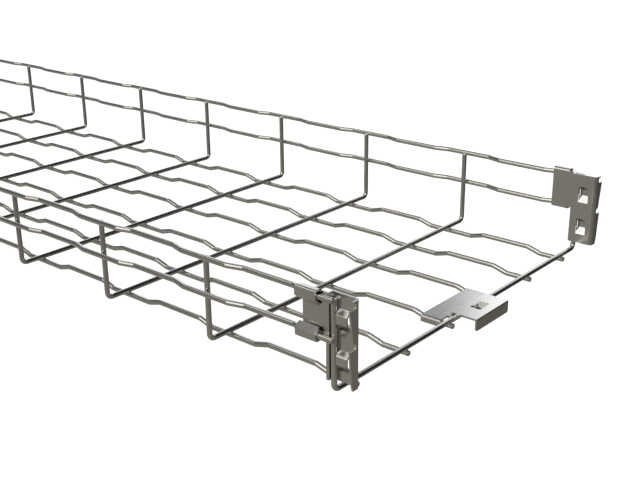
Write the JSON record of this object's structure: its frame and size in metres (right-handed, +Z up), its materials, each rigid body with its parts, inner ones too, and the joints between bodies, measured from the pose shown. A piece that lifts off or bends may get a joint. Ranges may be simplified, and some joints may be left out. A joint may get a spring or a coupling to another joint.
{
  "type": "wire mesh cable basket",
  "caption": "Welded wire channel of U-shaped cross wires and wavy long wires, with folded sheet connectors clipped to one end.",
  "frame": {"origin": "centre of the overall box, on the floor under the lowest wires", "axes": "+X along the basket towards the connector end, +Y to its left side, +Z up out of the channel"},
  "size_m": [2.0184, 0.3002, 0.066],
  "materials": {
    "zinc_wire": "electro-galvanised wire, smooth satin",
    "zinc_sheet": "galvanised sheet, satin with a fine speckle"
  },
  "bodies": {
    "root": {"cross_wire_01": "zinc_wire", "cross_wire_02": "zinc_wire", "cross_wire_03": "zinc_wire", "cross_wire_04": "zinc_wire", "cross_wire_05": "zinc_wire", "cross_wire_06": "zinc_wire", "cross_wire_07": "zinc_wire", "cross_wire_08": "zinc_wire", "cross_wire_09": "zinc_wire", "cross_wire_10": "zinc_wire", "cross_wire_11": "zinc_wire", "cross_wire_12": "zinc_wire", "cross_wire_13": "zinc_wire", "cross_wire_14": "zinc_wire", "cross_wire_15": "zinc_wire", "cross_wire_16": "zinc_wire", "cross_wire_17": "zinc_wire", "cross_wire_18": "zinc_wire", "cross_wire_19": "zinc_wire", "cross_wire_20": "zinc_wire", "cross_wire_21": "zinc_wire", "floor_wire_1": "zinc_wire", "floor_wire_2": "zinc_wire", "floor_wire_3": "zinc_wire", "floor_wire_4": "zinc_wire", "floor_wire_5": "zinc_wire", "floor_wire_6": "zinc_wire", "side_wire_middle_left": "zinc_wire", "side_wire_top_left": "zinc_wire", "side_wire_middle_right": "zinc_wire", "side_wire_top_right": "zinc_wire", "side_connector_left": "zinc_sheet", "side_connector_right": "zinc_sheet", "floor_connector": "zinc_sheet"}
  },
  "joints": []
}
